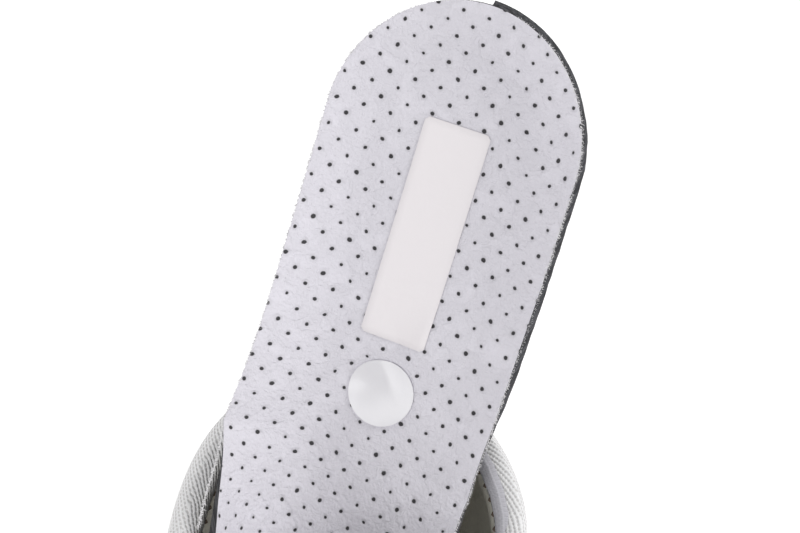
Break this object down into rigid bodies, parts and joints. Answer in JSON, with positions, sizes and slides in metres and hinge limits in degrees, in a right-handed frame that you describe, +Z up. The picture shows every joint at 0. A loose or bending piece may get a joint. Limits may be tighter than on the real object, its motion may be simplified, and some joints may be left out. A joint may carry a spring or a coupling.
{
  "type": "basketball shoe",
  "caption": "Left low-cut basketball shoe with a padded mesh upper, laced tongue, grooved sole and a perforated insole drawn half out over the heel.",
  "frame": {"origin": "on the floor under the middle of the heel tread", "axes": "+X towards the toe, +Y towards the outer side of the left foot, +Z up"},
  "size_m": [0.3631, 0.1146, 0.1592],
  "materials": {
    "mesh": "white sandwich mesh over padding",
    "overlay": "smooth white synthetic leather",
    "tongue": "white padded mesh",
    "laces": "flat woven white",
    "midsole": "white moulded foam",
    "outsole": "matt white rubber",
    "insole": "white suede-like cover on grey foam",
    "patch": "smooth cream"
  },
  "bodies": {
    "root": {"outsole": "outsole", "midsole": "midsole", "upper": "mesh", "eyestay": "overlay", "heel_counter": "overlay", "toe_cap": "overlay", "tongue": "tongue", "laces": "laces", "insole": "insole", "insole_patch": "patch"}
  },
  "joints": []
}
